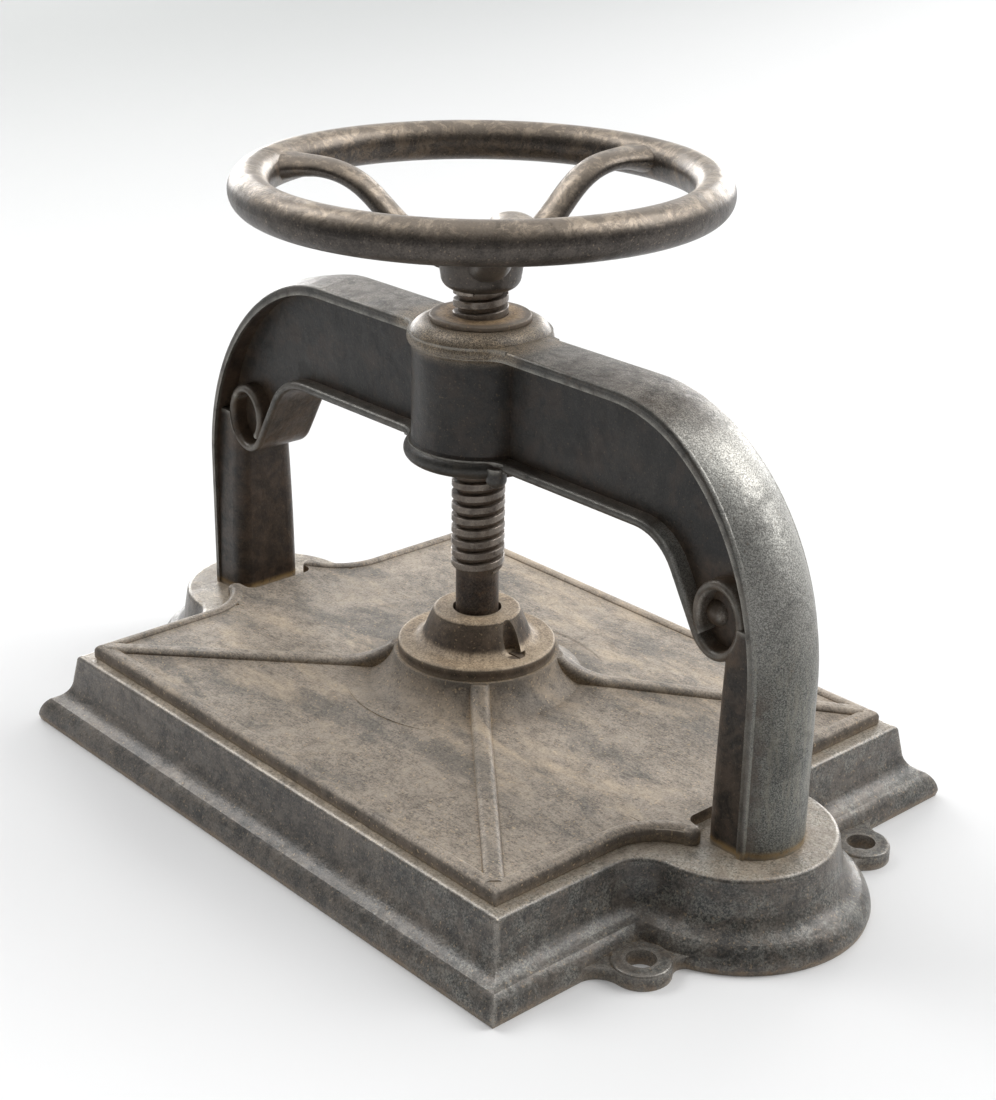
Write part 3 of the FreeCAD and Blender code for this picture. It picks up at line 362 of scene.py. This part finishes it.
TAN = (0.42, 0.305, 0.185)
paint("arch_frame", aged_iron(
    "arch_iron", (0.006, 0.0058, 0.0052), (0.030, 0.026, 0.022), (0.19, 0.130, 0.080), (0.30, 0.29, 0.26),
    dust_amount=0.55, edge_amount=0.9, freckles=0.25, stains=0.3, scuffs=0.10, rough=0.38, metallic=0.0,
    specular=0.38, grain=0.35, seed=1.0, zones=arch_zones))
paint("bed", aged_iron(
    "bed_iron", (0.026, 0.025, 0.023), (0.155, 0.130, 0.106), TAN, (0.33, 0.305, 0.27),
    dust_amount=0.65, edge_amount=0.8, freckles=0.35, stains=0.40, scuffs=0.14, rough=0.34, metallic=0.10,
    specular=0.6, grain=0.30, seed=50.0, zones=bed_zones))
paint("platen", aged_iron(
    "platen_iron", (0.135, 0.113, 0.092), (0.40, 0.335, 0.268), (0.60, 0.44, 0.265), (0.34, 0.30, 0.25),
    dust_amount=0.95, edge_amount=0.45, freckles=0.4, stains=0.25, scuffs=0.18, rough=0.55, metallic=0.1,
    specular=0.30, grain=0.5, seed=90.0, zones=platen_zones))
paint("handwheel", aged_iron(
    "wheel_iron", (0.034, 0.028, 0.024), (0.105, 0.088, 0.074), (0.34, 0.26, 0.18), (0.26, 0.225, 0.19),
    dust_amount=0.4, edge_amount=0.3, freckles=0.3, stains=0.35, scuffs=0.28, rough=0.38, metallic=0.45,
    specular=0.5, grain=0.35, pit=0.00008, seed=130.0, zones=wheel_zones))
paint("nut_bush", aged_iron(
    "bush_iron", (0.20, 0.125, 0.065), (0.50, 0.345, 0.19), TAN, (0.28, 0.23, 0.18), dust_amount=0.3,
    edge_amount=0.5, freckles=0.4, stains=0.4, scuffs=0.1, rough=0.65, metallic=0.0, seed=170.0,
    zones=bush_zones))
paint("screw_spindle", aged_iron(
    "screw_steel", (0.018, 0.013, 0.010), (0.075, 0.055, 0.042), (0.22, 0.155, 0.095), (0.30, 0.26, 0.22),
    dust_amount=0.5, edge_amount=0.9, freckles=0.25, stains=0.4, scuffs=0.2, rough=0.40, metallic=0.35,
    pit=0.00008, seed=210.0, zones=screw_zones))
paint("keeper_collar", aged_iron(
    "keeper_iron", (0.20, 0.145, 0.092), (0.50, 0.385, 0.26), (0.44, 0.31, 0.18), (0.34, 0.285, 0.215),
    dust_amount=0.4, edge_amount=0.6, freckles=0.4, stains=0.5, scuffs=0.2, rough=0.55, metallic=0.0,
    seed=250.0, zones=keeper_zones))
steel = aged_iron(
    "dull_steel", (0.035, 0.029, 0.024), (0.13, 0.115, 0.10), TAN, (0.33, 0.30, 0.27), dust_amount=0.5,
    edge_amount=0.7, freckles=0.3, rough=0.42, metallic=0.6, pit=0.00005, seed=290.0)
rusty = aged_iron(
    "rusty_steel", (0.04, 0.026, 0.018), (0.16, 0.098, 0.055), TAN, (0.26, 0.22, 0.18), dust_amount=0.6,
    edge_amount=0.6, freckles=0.4, rough=0.6, metallic=0.15, pit=0.00006, seed=330.0)
ground = aged_iron(
    "ground_steel", (0.20, 0.19, 0.18), (0.38, 0.37, 0.36), (0.16, 0.12, 0.08), (0.50, 0.49, 0.48),
    dust_amount=0.4, edge_amount=0.5, freckles=0.1, stains=0.2, scuffs=0.2, rough=0.32, metallic=0.9,
    pit=0.00002, seed=370.0)
for node in ("wheel_washer", "wheel_nut", "bush_lock_screw"):
    paint(node, steel)
for node in ("thrust_collar", "thrust_pin", "thrust_pad", "column_dowel_left", "column_dowel_right"):
    paint(node, ground)
paint("keeper_screws", rusty)
for side in ("left", "right"):
    for part in ("studs", "washers", "nuts"):
        paint(f"column_{part}_{side}", rusty)


# ---------------------------------------------------------------- floor, light and camera

AZIMUTH = math.radians(47.73)
FLOOR_REACH = 14.0
FLOOR_GLOW = 0.07
SKY_BRIGHT = 1.10
SKY_DARK = 0.05
SKY_TILT = math.radians(20)


def floor_paper():
    """White paper with painted shade, darker far back on the left where the light falls off, and a faint
    painted glow that lifts the shadows.
    """
    g = Graph("floor_paper")
    # Painted falloff of light: the paper is made darker towards the back left.
    back_left = g.add(g.mul(g.x, -0.98), g.mul(g.y, -0.19))
    colour = g.mix(g.band(back_left, 0.3, 2.6), (0.72, 0.72, 0.72), (0.39, 0.40, 0.395))
    g.surface(colour, 0.7, 0.0)
    # Painted light: the floor glows faintly, though it is no lamp.
    g.shader.inputs["Emission Color"].default_value = (1.0, 1.0, 1.0, 1.0)
    g.shader.inputs["Emission Strength"].default_value = FLOOR_GLOW
    return g.material


floor_mesh = bpy.data.meshes.new("floor")
floor_corners = [(x * FLOOR_REACH, y * FLOOR_REACH, 0) for x, y in ((-1, -1), (1, -1), (1, 1), (-1, 1))]
floor_mesh.from_pydata(floor_corners, [], [(0, 1, 2, 3)])
floor = bpy.data.objects.new("floor", floor_mesh)
floor_mesh.materials.append(floor_paper())
bpy.context.collection.objects.link(floor)

world = bpy.data.worlds.new("studio")
bpy.context.scene.world = world
world.use_nodes = True
sky = world.node_tree
sky.nodes.clear()


def sky_node(kind, **values):
    """A world node with its inputs set by name."""
    node = sky.nodes.new(kind)
    for key, value in values.items():
        node.inputs[key].default_value = value
    return node


def from_angles(azimuth, elevation):
    """Unit vector towards an azimuth (0 is -Y, turning to +X) and an elevation."""
    level = math.cos(elevation)
    return Vector((math.sin(azimuth) * level, -math.cos(azimuth) * level, math.sin(elevation)))


def studio_sky():
    """White walls at the back and sides and a white ceiling, with a dark gap on the front side."""
    direction = sky_node("ShaderNodeTexCoord")
    front = sky.nodes.new("ShaderNodeVectorMath")
    front.operation = "DOT_PRODUCT"
    front.inputs[1].default_value = from_angles(AZIMUTH, SKY_TILT)
    sky.links.new(direction.outputs["Generated"], front.inputs[0])
    dark = sky.nodes.new("ShaderNodeMapRange")
    dark.interpolation_type = "SMOOTHSTEP"
    dark.inputs["From Min"].default_value = -0.90
    dark.inputs["From Max"].default_value = 0.75
    dark.inputs["To Min"].default_value = SKY_BRIGHT
    dark.inputs["To Max"].default_value = SKY_DARK
    sky.links.new(front.outputs["Value"], dark.inputs["Value"])
    back = sky_node("ShaderNodeBackground", Color=(0.98, 0.99, 1.0, 1.0))
    sky.links.new(dark.outputs["Result"], back.inputs["Strength"])
    out = sky_node("ShaderNodeOutputWorld")
    sky.links.new(back.outputs[0], out.inputs[0])


studio_sky()


def far_light(name, towards, spread, power):
    """A large soft light far away, so that the floor is lit evenly everywhere."""
    data = bpy.data.lights.new(name, "SUN")
    data.angle = math.radians(spread)
    data.energy = power
    light = bpy.data.objects.new(name, data)
    bpy.context.collection.objects.link(light)
    light.rotation_euler = Vector(towards).to_track_quat("Z", "Y").to_euler()


far_light("key_back", (0.36, 0.62, 0.66), 40, 1.9)
far_light("top", (0.0, -0.10, 1.0), 75, 0.75)
far_light("over_left", (-0.68, -0.20, 0.70), 28, 1.1)
far_light("side_left", (-0.92, 0.34, 0.10), 26, 1.3)
far_light("side_right", (-0.41, 0.91, 0.10), 26, 1.2)

ELEVATION = math.radians(22.70)
ROLL = math.radians(0.94)
DISTANCE = 1.22061
TARGET = Vector((0.00088, 0.01548, 0.13495))
FOCAL_SHARE = 2033.72 / 1100
SENSOR = 36.0
back = from_angles(AZIMUTH, ELEVATION)
level_right = Vector((math.cos(AZIMUTH), math.sin(AZIMUTH), 0))
level_up = back.cross(level_right)
right = math.cos(ROLL) * level_right + math.sin(ROLL) * level_up
up = -math.sin(ROLL) * level_right + math.cos(ROLL) * level_up
camera_data = bpy.data.cameras.new("camera")
camera_data.sensor_width = SENSOR
camera_data.lens = SENSOR * FOCAL_SHARE
camera_data.clip_start = 0.05
camera_data.clip_end = 60.0
camera = bpy.data.objects.new("camera", camera_data)
bpy.context.collection.objects.link(camera)
camera.matrix_world = Matrix.LocRotScale(TARGET + back * DISTANCE,
                                         Matrix((right, up, back)).transposed().to_quaternion(), None)
bpy.context.scene.camera = camera
